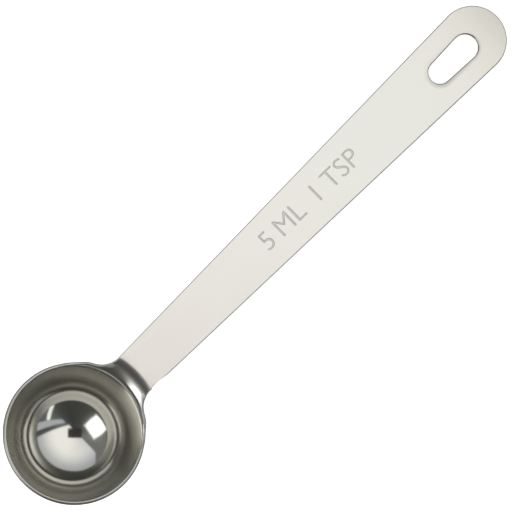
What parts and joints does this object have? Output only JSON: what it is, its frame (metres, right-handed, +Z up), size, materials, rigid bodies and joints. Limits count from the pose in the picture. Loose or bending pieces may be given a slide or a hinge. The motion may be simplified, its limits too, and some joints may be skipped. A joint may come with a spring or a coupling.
{
  "type": "measuring spoon",
  "caption": "One-piece pressed steel measuring spoon: deep round 5 ml bowl, flat handle that widens to a round end, and a long hanging slot",
  "frame": {"origin": "on the table, under the middle of the spoon's length and width, as it lies at rest on the bottom of its bowl and the tip of its handle", "axes": "+X along the handle toward its tip, as seen from above; +Y across the spoon, which is symmetric about Y = 0; +Z up"},
  "size_m": [0.136, 0.0292, 0.016],
  "materials": {
    "stainless_steel": "mirror-polished bowl, fine satin handle"
  },
  "bodies": {
    "root": {"pressed_spoon": "stainless_steel"}
  },
  "joints": []
}
